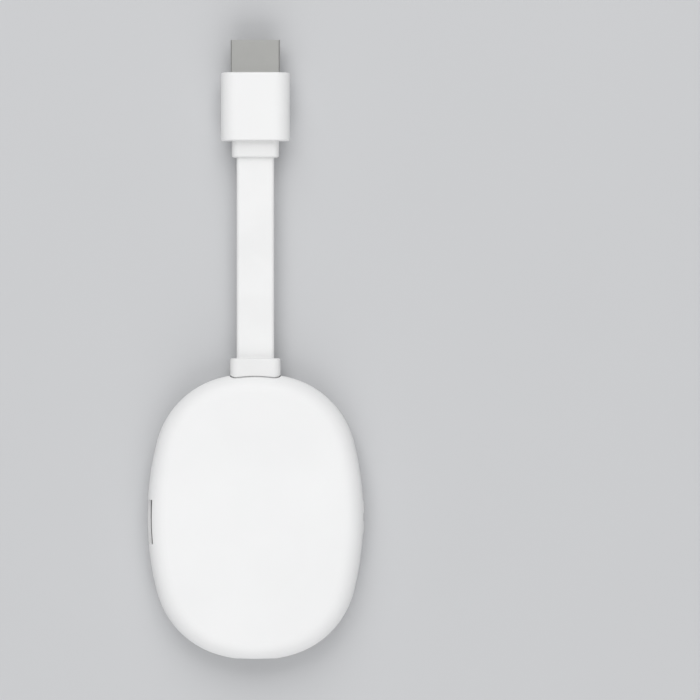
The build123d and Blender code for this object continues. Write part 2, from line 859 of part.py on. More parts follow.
with BuildPart() as wifi_shield:
    with BuildSketch(Plane.XY.offset(board_top + wifi_board)):
        with Locations(wifi_place):
            RectangleRounded(wifi_width - 2 * wifi_border, wifi_length - 2 * wifi_border, wifi_corner)
    extrude(amount=wifi_height - wifi_board)
    with BuildSketch(Plane.XY.offset(board_top + wifi_board)):
        with Locations(wifi_place):
            wifi_rim = 2 * (wifi_border + shield_sheet)
            RectangleRounded(wifi_width - wifi_rim, wifi_length - wifi_rim, wifi_corner - shield_sheet)
    extrude(amount=wifi_height - wifi_board - shield_sheet, mode=Mode.SUBTRACT)

wifi_shield.part.label = "wifi_shield"
export_step(wifi_shield.part, "parts/wifi_shield.step")


def antenna(side):
    """A folded strip: a foot on the board, an upright, and a top plate that reaches inwards."""
    x = side * antenna_x
    low_x = x - antenna_width / 2
    high_x = x + antenna_width / 2
    outer_y = half_length - antenna_inset + antenna_depth / 2
    inner_y = outer_y - antenna_depth
    top = board_top + antenna_height
    with BuildPart() as strip:
        brick((low_x, inner_y, top - antenna_sheet), (high_x, outer_y, top))
        brick((x - antenna_foot, outer_y - antenna_sheet, board_top), (x + antenna_foot, outer_y, top))
        brick(
            (x - antenna_foot, outer_y - antenna_foot, board_top),
            (x + antenna_foot, outer_y, board_top + antenna_sheet),
        )
    return strip


antenna_left = antenna(-1)
antenna_left.part.label = "antenna_left"
export_step(antenna_left.part, "parts/antenna_left.step")

antenna_right = antenna(1)
antenna_right.part.label = "antenna_right"
export_step(antenna_right.part, "parts/antenna_right.step")


# Block on the board that the lead's wires end in
with BuildPart() as lead_connector:
    brick(
        (-connector_width / 2, connector_front - connector_length, board_top),
        (connector_width / 2, connector_front, 2 * mid_height - board_top),
    )
    chamfer(lead_connector.faces().sort_by(Axis.Z)[-1].edges(), fit_gap)
    with BuildSketch(across(connector_front)):
        with Locations((0, mid_height)):
            with GridLocations(wire_pitch, wire_pitch, wire_count, 1):
                Circle(wire_diameter / 2 + snug_gap)
    extrude(amount=connector_bite + fit_gap, mode=Mode.SUBTRACT)

lead_connector.part.label = "lead_connector"
export_step(lead_connector.part, "parts/lead_connector.step")


# Power port
usb_front = usb_recess - half_length
usb_back = usb_front + usb_depth
usb_leg_x = usb_width / 2 - usb_sheet

with BuildPart() as usb_c_shell:
    with BuildSketch(across(usb_front)):
        with Locations((0, mid_height)):
            SlotOverall(usb_width, usb_height)
    extrude(amount=-usb_depth)
    with BuildSketch(across(usb_front)):
        with Locations((0, mid_height)):
            SlotOverall(usb_width - 2 * usb_sheet, usb_height - 2 * usb_sheet)
    extrude(amount=usb_sheet - usb_depth, mode=Mode.SUBTRACT)
    for side in (-1, 1):
        for place in usb_leg_offsets:
            near = side * usb_leg_x
            far_side = side * (usb_width / 2 + usb_leg_sheet)
            brick(
                (min(near, far_side), usb_front + place - usb_leg_width / 2, board_top),
                (max(near, far_side), usb_front + place + usb_leg_width / 2, mid_height),
            )

usb_c_shell.part.label = "usb_c_shell"
export_step(usb_c_shell.part, "parts/usb_c_shell.step")

tongue_front = usb_front + usb_tongue_back
core_width = usb_width - 2 * (usb_sheet + snug_gap)
core_height = usb_height - 2 * (usb_sheet + snug_gap)

with BuildPart() as usb_c_tongue:
    with BuildSketch(across(usb_back - usb_sheet - usb_core_depth)):
        with Locations((0, mid_height)):
            SlotOverall(core_width, core_height)
    extrude(amount=-usb_core_depth)
    bar(tongue_front, usb_back - usb_sheet, usb_tongue_width, usb_tongue_height, fine_corner)

usb_c_tongue.part.label = "usb_c_tongue"
export_step(usb_c_tongue.part, "parts/usb_c_tongue.step")

with BuildPart() as usb_c_contacts:
    pin_start = tongue_front + usb_pin_back
    pin_end = usb_back - usb_sheet - usb_core_depth
    for side in (-1, 1):
        with BuildSketch(across(pin_start)):
            with Locations((0, mid_height + side * (usb_tongue_height + usb_pin_sheet) / 2)):
                with GridLocations(usb_pin_pitch, usb_pin_pitch, usb_pin_count, 1):
                    Rectangle(usb_pin_width, usb_pin_sheet)
        extrude(amount=pin_start - pin_end)

usb_c_contacts.part.label = "usb_c_contacts"
export_step(usb_c_contacts.part, "parts/usb_c_contacts.step")


# Card socket, open towards the left edge
socket_mouth = 2 * fit_gap - side_seat
socket_back = socket_mouth + socket_depth
socket_low = card_y - socket_width / 2
socket_high = card_y + socket_width / 2
socket_roof = board_top + socket_height - socket_sheet

with BuildPart() as card_socket_base:
    brick((socket_mouth, socket_low, board_top), (socket_back, socket_high, socket_roof))
    brick(
        (socket_mouth, socket_low + socket_wall, board_top + socket_floor),
        (socket_back - socket_wall, socket_high - socket_wall, socket_roof),
        mode=Mode.SUBTRACT,
    )

card_socket_base.part.label = "card_socket_base"
export_step(card_socket_base.part, "parts/card_socket_base.step")

with BuildPart() as card_socket_cover:
    skirt = socket_sheet + snug_gap
    brick(
        (socket_mouth, socket_low - skirt, board_top),
        (socket_back + skirt, socket_high + skirt, board_top + socket_height),
    )
    brick(
        (socket_mouth, socket_low - snug_gap, board_top),
        (socket_back + snug_gap, socket_high + snug_gap, socket_roof),
        mode=Mode.SUBTRACT,
    )

card_socket_cover.part.label = "card_socket_cover"
export_step(card_socket_cover.part, "parts/card_socket_cover.step")

with BuildPart() as card_socket_contacts:
    with BuildSketch(Plane.XY.offset(board_top + socket_floor)):
        with Locations((socket_back - socket_wall - socket_pin_length / 2, card_y)):
            with GridLocations(socket_pin_pitch, socket_pin_pitch, 1, socket_pin_count):
                Rectangle(socket_pin_length, socket_pin_width)
    extrude(amount=socket_pin_sheet)

card_socket_contacts.part.label = "card_socket_contacts"
export_step(card_socket_contacts.part, "parts/card_socket_contacts.step")


# Side button: a key in the right edge, held by its flange and pushed out by the switch's plunger
flange_outer = side_seat - fit_gap
flange_inner = flange_outer - button_flange
switch_front = flange_inner - plunger_reach
plunger_z = board_top + switch_height / 2

with BuildPart() as reset_button:
    with BuildSketch(Plane.YZ.offset(flange_outer)):
        with Locations((button_y, mid_height)):
            RectangleRounded(button_length, button_height, button_corner)
    extrude(amount=seat_depth + outside)
    add(pebble(-button_proud), mode=Mode.INTERSECT)
    brick(
        (half_width + button_proud - button_dent_depth, button_y - button_dent_length / 2, 0),
        (half_width + outside, button_y + button_dent_length / 2, body_thickness),
        mode=Mode.SUBTRACT,
    )
    brick(
        (flange_inner, button_y - button_flange_length / 2, mid_height - button_flange_height / 2),
        (flange_outer, button_y + button_flange_length / 2, mid_height + button_flange_height / 2),
    )

reset_button.part.label = "reset_button"
export_step(reset_button.part, "parts/reset_button.step")

with BuildPart() as switch_plunger:
    brick(
        (switch_front - plunger_bite, button_y - plunger_length / 2, plunger_z - plunger_height / 2),
        (flange_inner, button_y + plunger_length / 2, plunger_z + plunger_height / 2),
    )

switch_plunger.part.label = "switch_plunger"
export_step(switch_plunger.part, "parts/switch_plunger.step")

with BuildPart() as switch_body:
    brick(
        (switch_front - switch_depth, button_y - switch_length / 2, board_top),
        (switch_front, button_y + switch_length / 2, board_top + switch_height),
    )
    room_depth = plunger_bite + button_travel + button_gap
    room_half_length = plunger_length / 2 + fit_gap
    room_half_height = plunger_height / 2 + fit_gap
    brick(
        (switch_front - room_depth, button_y - room_half_length, plunger_z - room_half_height),
        (switch_front, button_y + room_half_length, plunger_z + room_half_height),
        mode=Mode.SUBTRACT,
    )

switch_body.part.label = "switch_body"
export_step(switch_body.part, "parts/switch_body.step")


# Status light, and the pipe that carries it to the lower end
light_y = light_inset - half_length
status_led = packages([(light_x, light_y)], light_width, light_length, light_height)
status_led.part.label = "status_led"
export_step(status_led.part, "parts/status_led.step")

with BuildPart() as light_pipe:
    with BuildSketch(across(-half_length)):
        with Locations((light_x, mid_height)):
            Circle(pipe_radius)
    extrude(amount=-(light_inset + light_length / 2))
    chamfer(light_pipe.faces().sort_by(Axis.Y)[-1].edges(), pipe_point)
    add(outer_volume, mode=Mode.INTERSECT)
    with BuildSketch(across(fit_gap - port_seat)):
        with Locations((light_x, mid_height)):
            Circle(pipe_flange_radius)
    extrude(amount=-pipe_flange)

light_pipe.part.label = "light_pipe"
export_step(light_pipe.part, "parts/light_pipe.step")
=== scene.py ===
# %% [markdown]
# A streaming stick. It is a flat pebble-shaped housing, a short flat lead and an HDMI plug in a moulded
# boot, nearly all of it white plastic. The engineering model is loaded as a fixed frame: every shape that
# is already right keeps its mesh and only gets a finish, and what has to bend or needs finer detail is
# built here, in metres, where the frame says that it is.

# %% Load the frame
import bpy
import json
import math
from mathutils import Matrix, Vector

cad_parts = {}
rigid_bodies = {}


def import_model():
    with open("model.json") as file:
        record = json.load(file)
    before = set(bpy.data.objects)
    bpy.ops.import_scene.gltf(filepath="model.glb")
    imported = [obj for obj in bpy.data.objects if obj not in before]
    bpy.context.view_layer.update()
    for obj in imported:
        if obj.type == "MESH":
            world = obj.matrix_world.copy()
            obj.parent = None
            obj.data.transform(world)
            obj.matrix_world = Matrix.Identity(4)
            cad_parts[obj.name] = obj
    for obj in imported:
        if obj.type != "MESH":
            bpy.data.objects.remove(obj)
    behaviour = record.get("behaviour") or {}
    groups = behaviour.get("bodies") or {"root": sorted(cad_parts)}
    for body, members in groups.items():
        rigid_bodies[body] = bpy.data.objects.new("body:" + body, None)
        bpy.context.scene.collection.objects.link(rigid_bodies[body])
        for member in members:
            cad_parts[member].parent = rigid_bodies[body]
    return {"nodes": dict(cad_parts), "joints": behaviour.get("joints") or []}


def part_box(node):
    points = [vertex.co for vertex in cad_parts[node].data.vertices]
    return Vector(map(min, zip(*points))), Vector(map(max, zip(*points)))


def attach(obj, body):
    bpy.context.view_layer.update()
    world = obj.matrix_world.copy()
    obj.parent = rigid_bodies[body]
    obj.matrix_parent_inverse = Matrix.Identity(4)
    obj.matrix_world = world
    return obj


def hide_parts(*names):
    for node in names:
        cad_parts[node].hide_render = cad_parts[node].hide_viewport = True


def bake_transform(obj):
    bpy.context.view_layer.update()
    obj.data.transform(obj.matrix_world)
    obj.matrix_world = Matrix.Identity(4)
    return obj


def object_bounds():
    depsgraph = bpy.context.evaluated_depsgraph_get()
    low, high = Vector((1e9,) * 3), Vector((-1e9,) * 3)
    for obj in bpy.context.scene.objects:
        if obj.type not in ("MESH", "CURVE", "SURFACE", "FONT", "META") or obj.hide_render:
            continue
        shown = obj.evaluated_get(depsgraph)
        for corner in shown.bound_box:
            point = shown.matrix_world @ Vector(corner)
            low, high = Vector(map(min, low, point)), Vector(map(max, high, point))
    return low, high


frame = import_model()
nodes = frame["nodes"]
cad_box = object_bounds()
MM = 0.001
print("size in mm:", [round((high - low) / MM, 1) for low, high in zip(*cad_box)])

# %% [markdown]
# The camera comes first, because it settles which sides matter most. The photograph looks straight at the
# front, so the stick lies on its back and the camera hangs far above it. A long lens keeps the sides from
# spreading, as in a catalogue picture. The frame is 700 pixels square, and at 3.54 pixels to a millimetre
# its middle is a little to the right of the stick and above the middle of the pebble.

# %% Camera
PIXELS_PER_MM = 3.54
FRAME_PIXELS = 700
PEBBLE_MIDDLE_PX = (255.4, 516.5)
CAMERA_HEIGHT = 1.5
SENSOR_MM = 36.0


def metres(pixels):
    """A length in the photograph's pixels, in metres on the object."""
    return pixels / PIXELS_PER_MM * MM


shell_low, shell_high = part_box("hdmi_shell")
middle_z = (shell_low.z + shell_high.z) / 2
frame_middle = FRAME_PIXELS / 2
camera_data = bpy.data.cameras.new("photo camera")
camera_data.sensor_width = SENSOR_MM
camera_data.lens = SENSOR_MM * CAMERA_HEIGHT / metres(FRAME_PIXELS)
camera = bpy.data.objects.new("photo camera", camera_data)
camera.location = (
    metres(frame_middle - PEBBLE_MIDDLE_PX[0]),
    metres(PEBBLE_MIDDLE_PX[1] - frame_middle),
    middle_z + CAMERA_HEIGHT,
)
bpy.context.scene.collection.objects.link(camera)
bpy.context.scene.camera = camera
print("lens", round(camera_data.lens, 1), "mm, camera above", [round(v / MM, 1) for v in camera.location])

# %% [markdown]
# A finish is a material made of nodes. Writing node trees by hand is wordy, so two small classes do it. A
# Value wraps a socket and turns Python's + - * into Math nodes, and a Finish is one material with a method
# that adds any other node. Patterns are laid on Object coordinates, which stay put when the camera moves,
# and only what varies over the surface is linked: everything constant is set on the shader itself. Patterns
# run from 0 to 1, so in a sum the number beside a pattern is what it adds at its most.

# %% Shader maths in plain Python
# A Mix node has sockets for numbers, vectors and colours, so the colour ones are picked by their place.
COLOR_A, COLOR_B, COLOR_RESULT = 6, 7, 2


class Value:
    """A socket of a finish's tree that takes part in Python sums."""

    def __init__(self, finish, socket):
        self.finish = finish
        self.socket = socket

    def maths(self, operation, first, second):
        """A Math node on two numbers or sockets."""
        return self.finish.node("ShaderNodeMath", {0: first, 1: second}, operation=operation)

    def __add__(self, other):
        return self.maths("ADD", self, other)

    def __radd__(self, other):
        return self.maths("ADD", other, self)

    def __rsub__(self, other):
        return self.maths("SUBTRACT", other, self)

    def __mul__(self, other):
        return self.maths("MULTIPLY", self, other)

    def rise(self, start, end):
        """0 below start, 1 above end, and a smooth step between them."""
        return self.finish.node(
            "ShaderNodeMapRange",
            {"Value": self, "From Min": start, "From Max": end},
            interpolation_type="SMOOTHSTEP",
        )


class Finish:
    """One material: a plain shader with its constants, and the nodes that vary it."""

    def __init__(self, name, color, roughness, metallic=0.0, **constants):
        self.material = bpy.data.materials.new(name)
        self.material.use_nodes = True
        self.tree = self.material.node_tree
        self.shader = self.tree.nodes["Principled BSDF"]
        self.material.diffuse_color = (*color, 1)
        self.set("Base Color", (*color, 1))
        self.set("Roughness", roughness)
        self.set("Metallic", metallic)
        for socket, value in constants.items():
            self.set(socket.replace("_", " "), value)

    def feed(self, socket, value):
        if isinstance(value, Value):
            self.tree.links.new(value.socket, socket)
        else:
            socket.default_value = value

    def set(self, socket, value):
        self.feed(self.shader.inputs[socket], value)

    def node(self, kind, inputs=None, output=0, **settings):
        """Adds a node: its settings first, then the values or links of its sockets."""
        made = self.tree.nodes.new(kind)
        for name, value in settings.items():
            setattr(made, name, value)
        for socket, value in (inputs or {}).items():
            self.feed(made.inputs[socket], value)
        return Value(self, made.outputs[output])

    def place(self, stretch=(1, 1, 1)):
        """Object coordinates; a scale under 1 along an axis draws a pattern out along it."""
        raw = self.node("ShaderNodeTexCoord", output="Object")
        return self.node("ShaderNodeMapping", {"Vector": raw, "Scale": stretch})

    def noise(self, size, detail=2.0, stretch=(1, 1, 1), vector=None):
        """Soft noise whose blotches are about size metres across, from 0 to 1."""
        where = vector or self.place(stretch)
        return self.node("ShaderNodeTexNoise", {"Vector": where, "Scale": 1 / size, "Detail": detail})

    def blend(self, amount, first, second):
        """A colour that goes from first to second as amount goes from 0 to 1."""
        return self.node(
            "ShaderNodeMix",
            {"Factor": amount, COLOR_A: (*first, 1), COLOR_B: (*second, 1)},
            output=COLOR_RESULT,
            data_type="RGBA",
        )

    def bump(self, height, depth, strength):
        """Raises the surface by height, which runs from 0 to 1, times depth in metres."""
        raised = self.node("ShaderNodeBump", {"Height": height, "Distance": depth, "Strength": strength})
        self.set("Normal", raised)


def darker(color, share):
    """A colour with each part times share."""
    return tuple(share * part for part in color)


print("finish helpers ready")

# %% [markdown]
# White is the hardest colour to make look real, because nothing on it stands out. A moulded cover is never
# one flat tone: the mould leaves a fine grain that breaks up the highlight, the plastic is the least bit
# warm, and faint flow marks change its shade and its gloss over a few centimetres. Each of these is small,
# a few parts in a hundred of the colour and some hundredths of a millimetre of relief.

# %% White plastics
FLOW_MARK = 28 * MM
FLOW_SHADE = 0.972


def moulded_white(name, color, roughness, grain, relief):
    """Injection-moulded plastic with a spark-eroded grain of its own size and relief, in metres."""
    finish = Finish(name, color, roughness, Specular_IOR_Level=0.5)
    flow = finish.noise(FLOW_MARK, 3)
    speck = finish.noise(grain, 1)
    shade = darker(color, FLOW_SHADE)
    finish.set("Base Color", finish.blend(flow.rise(0.25, 0.75), color, shade))
    finish.set("Roughness", roughness - 0.03 + flow * 0.05 + speck * 0.03)
    finish.bump(speck, relief, 0.8)
    return finish.material


front_white = moulded_white("front white", (0.90, 0.90, 0.897), 0.49, 0.16 * MM, 0.016 * MM)
rear_white = moulded_white("rear white", (0.84, 0.84, 0.836), 0.52, 0.30 * MM, 0.045 * MM)
boot_white = moulded_white("boot white", (0.89, 0.89, 0.886), 0.46, 0.18 * MM, 0.018 * MM)
button_white = moulded_white("button white", (0.80, 0.80, 0.796), 0.42, 0.20 * MM, 0.022 * MM)
print("white plastics:", front_white.name, rear_white.name, boot_white.name, button_white.name)

# %% [markdown]
# The lead's jacket and the two collars are a soft elastomer, duller than the covers. The collars are
# moulded, but the jacket was pushed through a die, which leaves faint lines along it. On a piece that
# bends, a pattern must not slide when the piece moves, so the lead carries its own resting place as an
# attribute and the lines are drawn on that.

# %% Elastomers
REST_PLACE = "rest_place"
DIE_DRAW = (1, 0.02, 1)
SOFT_CLOUD = 12 * MM
SOFT_LINE = 0.35 * MM
SOFT_RELIEF = 0.026 * MM
SOFT_SHADE = 0.965


def elastomer(name, color, drawn_along=None):
    """Soft moulded or extruded elastomer; drawn_along names the attribute of a piece that bends."""
    finish = Finish(name, color, 0.5, Specular_IOR_Level=0.42, Sheen_Weight=0.08, Sheen_Roughness=0.5)
    if drawn_along:
        where = finish.node("ShaderNodeAttribute", output="Vector", attribute_name=drawn_along)
        drawn = finish.node("ShaderNodeMapping", {"Vector": where, "Scale": DIE_DRAW})
    else:
        where = drawn = finish.place()
    cloud = finish.noise(SOFT_CLOUD, 2, vector=where)
    line = finish.noise(SOFT_LINE, 2, vector=drawn)
    shade = darker(color, SOFT_SHADE)
    finish.set("Base Color", finish.blend(cloud.rise(0.3, 0.7), color, shade))
    finish.set("Roughness", 0.46 + cloud * 0.08 + line * 0.04)
    finish.bump(line, SOFT_RELIEF, 0.8)
    return finish.material


lead_white = elastomer("lead white", (0.885, 0.885, 0.88), REST_PLACE)
collar_white = elastomer("collar white", (0.85, 0.85, 0.845))
wire_cover = elastomer("wire cover", (0.06, 0.06, 0.065), REST_PLACE)
print("elastomers:", lead_white.name, collar_white.name, wire_cover.name)

# %% [markdown]
# The plug's shell is thin steel with a satin nickel plate. Rolling and tumbling leave fine lines along it
# and a slightly cloudy gloss, so the roughness varies more than the colour does. Sheet shields inside are
# tin-plated, with the crystal pattern of tin, and the contacts are gold over nickel.

# %% Metals
ROLLING_LINE = 0.09 * MM
ROLLING_RELIEF = 0.003 * MM
PLATE_CLOUD = 6 * MM
PLATE_SHADE = 0.96
TIN_CRYSTAL = 1.8 * MM
TIN_GRAIN = 0.4 * MM
TIN_RELIEF = 0.004 * MM
TIN_SHADE = 0.84


def plated_metal(name, color, roughness, line_length=40.0, along="Y"):
    """Plated sheet with fine rolling lines along one axis, line_length times as long as they are wide."""
    finish = Finish(name, color, roughness, metallic=1.0)
    stretch = tuple(1 / line_length if axis == along else 1 for axis in "XYZ")
    line = finish.noise(ROLLING_LINE, 2, stretch)
    cloud = finish.noise(PLATE_CLOUD, 2)
    dull = darker(color, PLATE_SHADE)
    finish.set("Base Color", finish.blend(cloud.rise(0.3, 0.75), color, dull))
    finish.set("Roughness", roughness - 0.03 + cloud * 0.02 + line * 0.05)
    finish.bump(line, ROLLING_RELIEF, 0.5)
    return finish.material


def tinned_sheet(name, color):
    """Tin-plated steel: flat crystals, each a little brighter or duller than the next."""
    finish = Finish(name, color, 0.34, metallic=1.0)
    crystal = finish.node(
        "ShaderNodeTexVoronoi", {"Vector": finish.place(), "Scale": 1 / TIN_CRYSTAL}, output="Color"
    )
    grey = finish.node("ShaderNodeSeparateColor", {0: crystal})
    dull = darker(color, TIN_SHADE)
    finish.set("Base Color", finish.blend(grey, color, dull))
    finish.set("Roughness", 0.28 + grey * 0.12)
    finish.bump(finish.noise(TIN_GRAIN, 2), TIN_RELIEF, 0.4)
    return finish.material


shell_nickel = plated_metal("shell nickel", (0.49, 0.49, 0.472), 0.36)
port_nickel = plated_metal("port nickel", (0.60, 0.60, 0.60), 0.30)
spreader_metal = plated_metal("spreader aluminium", (0.72, 0.73, 0.74), 0.38, 25.0, "X")
screw_steel = plated_metal("screw steel", (0.52, 0.52, 0.53), 0.32, 1.0)
can_metal = plated_metal("crystal can", (0.70, 0.70, 0.71), 0.24, 8.0, "X")
contact_gold = plated_metal("contact gold", (0.83, 0.60, 0.22), 0.24, 10.0)
shield_tin = tinned_sheet("shield tin", (0.62, 0.62, 0.63))
print("metals ready")

# %% [markdown]
# Inside, the board has a green mask with copper showing faintly under it as straight tracks, packages are
# black epoxy with a coarse moulded grain, and the pads are a soft, slightly crumbly silicone. Nothing here
# shows with the covers closed, but whoever takes the part apart will see it.

# %% Finishes of the inner pieces
TRACK_WIDTH = 0.9 * MM
TRACK_DRAW = 0.12
TRACK_RELIEF = 0.018 * MM
MASK_CLOUD = 5 * MM


def green_board(name):
    """Solder mask over tracks: straight bands that break off, raised by the copper under them."""
    mask, covered_copper = (0.015, 0.11, 0.06), (0.04, 0.2, 0.1)
    finish = Finish(name, (0.02, 0.13, 0.07), 0.34, Coat_Weight=0.4, Coat_Roughness=0.15)
    across = finish.noise(TRACK_WIDTH, 0, (TRACK_DRAW, 1, 1)).rise(0.54, 0.57)
    down = finish.noise(TRACK_WIDTH, 0, (1, TRACK_DRAW, 1)).rise(0.56, 0.59)
    track = (across + down).rise(0.2, 0.9)
    finish.set("Base Color", finish.blend(track, mask, covered_copper))
    finish.set("Roughness", 0.3 + finish.noise(MASK_CLOUD) * 0.1)
    finish.bump(track, TRACK_RELIEF, 0.6)
    return finish.material


def grained(name, color, roughness, size, relief, shade=0.8):
    """Epoxy, ferrite, ceramic or silicone: a fine even grain, with dark specks of shade times the colour."""
    finish = Finish(name, color, roughness)
    grain = finish.noise(size, 3)
    finish.set("Base Color", finish.blend(grain.rise(0.35, 0.65), color, darker(color, shade)))
    finish.set("Roughness", roughness - 0.05 + grain * 0.1)
    finish.bump(grain, relief, 0.7)
    return finish.material


board_green = green_board("board green")
package_black = grained("package black", (0.028, 0.028, 0.03), 0.55, 0.12 * MM, 0.008 * MM)
ferrite_grey = grained("ferrite grey", (0.10, 0.10, 0.11), 0.6, 0.25 * MM, 0.016 * MM)
ceramic_tan = grained("ceramic tan", (0.46, 0.33, 0.19), 0.35, 0.2 * MM, 0.003 * MM, 0.9)
pad_grey = grained("pad grey", (0.36, 0.42, 0.50), 0.8, 0.5 * MM, 0.03 * MM, 0.88)
carrier_black = grained("carrier black", (0.022, 0.022, 0.025), 0.42, 0.2 * MM, 0.005 * MM)
inner_grey = grained("inner mould grey", (0.30, 0.30, 0.31), 0.6, 0.4 * MM, 0.014 * MM)
print("inner finishes ready")

# %% [markdown]
# The status light shines through a small clear pipe. Clear plastic needs little: a smooth surface, the
# plastic's index of refraction and transmission set as constants. A faint cloud in its roughness keeps it
# from looking like cut glass.

# %% Clear plastic and the light behind it
ACRYLIC_IOR = 1.49
CLEAR_CLOUD = 0.5 * MM
WINDOW_RADIUS = 0.44 * MM
WINDOW_RIM = 0.08 * MM


def clear_plastic(name):
    """Moulded acrylic with a faint cloud."""
    finish = Finish(name, (0.93, 0.95, 0.96), 0.12, IOR=ACRYLIC_IOR, Transmission_Weight=0.85)
    finish.set("Roughness", 0.1 + finish.noise(CLEAR_CLOUD) * 0.08)
    return finish.material


def led_body(name):
    """White lamp package with a yellow phosphor window in its middle."""
    package, phosphor = (0.86, 0.86, 0.82), (0.85, 0.72, 0.2)
    finish = Finish(name, package, 0.4)
    low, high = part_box("status_led")
    raw = finish.node("ShaderNodeTexCoord", output="Object")
    away = finish.node(
        "ShaderNodeVectorMath", {0: raw, 1: (low + high) / 2}, operation="DISTANCE", output="Value"
    )
    window = away.rise(WINDOW_RADIUS + WINDOW_RIM, WINDOW_RADIUS)
    finish.set("Base Color", finish.blend(window, package, phosphor))
    finish.set("Roughness", 0.4 - window * 0.15)
    return finish.material


lens_clear = clear_plastic("light pipe clear")
led_white = led_body("status lamp")
print("light finishes ready")

# %% [markdown]
# The frame's own meshes keep their shape and only change their finish. A table of finish to pieces reads
# like a parts list, and the last line would name any piece that was forgotten.

# %% Give every kept piece its finish
finish_of = {
    front_white: ["front_cover"],
    rear_white: ["rear_cover"],
    collar_white: ["housing_grommet", "plug_grommet"],
    boot_white: ["plug_boot"],
    button_white: ["reset_button"],
    shell_nickel: ["hdmi_shell"],
    port_nickel: ["usb_c_shell", "card_socket_cover"],
    shield_tin: ["shield_frame", "shield_lid", "wifi_shield", "plug_shield_can"],
    spreader_metal: ["front_heat_spreader", "rear_heat_spreader"],
    screw_steel: ["board_screws"],
    can_metal: ["crystal"],
    contact_gold: [
        "antenna_left", "antenna_right", "card_socket_contacts", "hdmi_contacts", "usb_c_contacts",
    ],
    board_green: ["main_board", "wifi_module", "plug_board"],
    package_black: ["processor", "memory_chips", "flash_chip", "power_chips"],
    ferrite_grey: ["power_inductors"],
    ceramic_tan: ["board_capacitors"],
    pad_grey: ["processor_thermal_pad", "shield_thermal_pad", "rear_thermal_pad"],
    carrier_black: [
        "hdmi_insulator", "usb_c_tongue", "card_socket_base", "switch_body", "switch_plunger",
        "lead_connector",
    ],
    inner_grey: ["plug_inner_mould"],
    lens_clear: ["light_pipe"],
    led_white: ["status_led"],
    lead_white: ["lead_jacket"],
    wire_cover: ["lead_conductors"],
}

unfinished = set(nodes)
for material, names in finish_of.items():
    unfinished -= set(names)
    for name in names:
        nodes[name].data.materials.clear()
        nodes[name].data.materials.append(material)
print("pieces without a finish:", sorted(unfinished))

# %% [markdown]
# Geometry Nodes build what follows a path or repeats. A small class makes a tree: it adds nodes with their
# settings and links, and closes the tree with Realize Instances and Set Material, so that the result is
# one real mesh with its finish. The tree runs on a host mesh, and the result is then kept as a plain mesh.
# Three steps come back in more than one tree, so the class has them too: the host's edges as a curve, a row
# of points centred on X = 0, and the resting place of every point as an attribute.


# %% A Geometry Nodes tree in a few lines
class Tree:
    """A Geometry Nodes tree with named inputs for its sizes."""

    def __init__(self, name, **sizes):
        self.group = bpy.data.node_groups.new(name, "GeometryNodeTree")
        self.group.is_modifier = True
        sockets = self.group.interface
        sockets.new_socket("Geometry", in_out="INPUT", socket_type="NodeSocketGeometry")
        sockets.new_socket("Geometry", in_out="OUTPUT", socket_type="NodeSocketGeometry")
        self.ids = {}
        for size, value in sizes.items():
            kind = "NodeSocketInt" if isinstance(value, int) else "NodeSocketFloat"
            self.ids[size] = sockets.new_socket(size, in_out="INPUT", socket_type=kind).identifier
        self.sizes = sizes
        self.inputs = self.group.nodes.new("NodeGroupInput").outputs

    def node(self, kind, inputs=None, output=0, **settings):
        """Adds a node: its settings first, then the values or links of its sockets."""
        full_kind = kind if kind.startswith("Shader") else "GeometryNode" + kind
        made = self.group.nodes.new(full_kind)
        for name, value in settings.items():
            setattr(made, name, value)
        for socket, value in (inputs or {}).items():
            if isinstance(value, bpy.types.NodeSocket):
                self.group.links.new(value, made.inputs[socket])
            else:
                made.inputs[socket].default_value = value
        return made.outputs[output]

    def maths(self, operation, *values):
        """A Math node on numbers or sockets."""
        return self.node("ShaderNodeMath", dict(enumerate(values)), operation=operation)

    def vector(self, **parts):
        """A vector made of its X, Y and Z, each a number or a socket, and 0 where it isn't given."""
        return self.node("ShaderNodeCombineXYZ", parts)

    def host_curve(self):
        """The host's chain of edges as a curve."""
        return self.node("MeshToCurve", {"Mesh": self.inputs["Geometry"]})

    def centred_row(self, count, pitch):
        """Points pitch apart along X, with the row's middle at X = 0."""
        row = self.node("MeshLine", {"Count": count, "Offset": self.vector(X=pitch)})
        reach = self.maths("MULTIPLY", self.maths("ADD", count, -1), pitch)
        half_back = self.maths("MULTIPLY", reach, -0.5)
        return self.node("SetPosition", {"Geometry": row, "Offset": self.vector(X=half_back)})

    def keep_place(self, geometry):
        """Stores where every point rests, for a pattern that mustn't slide when the piece bends."""
        return self.node(
            "StoreNamedAttribute",
            {"Geometry": geometry, "Name": REST_PLACE, "Value": self.node("InputPosition")},
            data_type="FLOAT_VECTOR",
        )

    def run(self, name, host_mesh, result, material):
        """Closes the tree on result, runs it on a host and returns a piece with the plain mesh."""
        real = self.node("RealizeInstances", {0: result})
        painted = self.node("SetMaterial", {"Geometry": real, "Material": material})
        end = self.group.nodes.new("NodeGroupOutput")
        self.group.links.new(painted, end.inputs[0])
        host = bpy.data.objects.new(name + " host", host_mesh)
        bpy.context.scene.collection.objects.link(host)
        modifier = host.modifiers.new("build", "NODES")
        modifier.node_group = self.group
        for size, value in self.sizes.items():
            modifier[self.ids[size]] = value
        graph = bpy.context.evaluated_depsgraph_get()
        mesh = bpy.data.meshes.new_from_object(
            host.evaluated_get(graph), preserve_all_data_layers=True, depsgraph=graph
        )
        bpy.data.objects.remove(host)
        mesh.name = name
        piece = bpy.data.objects.new(name, mesh)
        bpy.context.scene.collection.objects.link(piece)
        print(name, "has", len(mesh.polygons), "faces, mm:", [round(d / MM, 2) for d in piece.dimensions])
        return piece


print("tree helper ready")

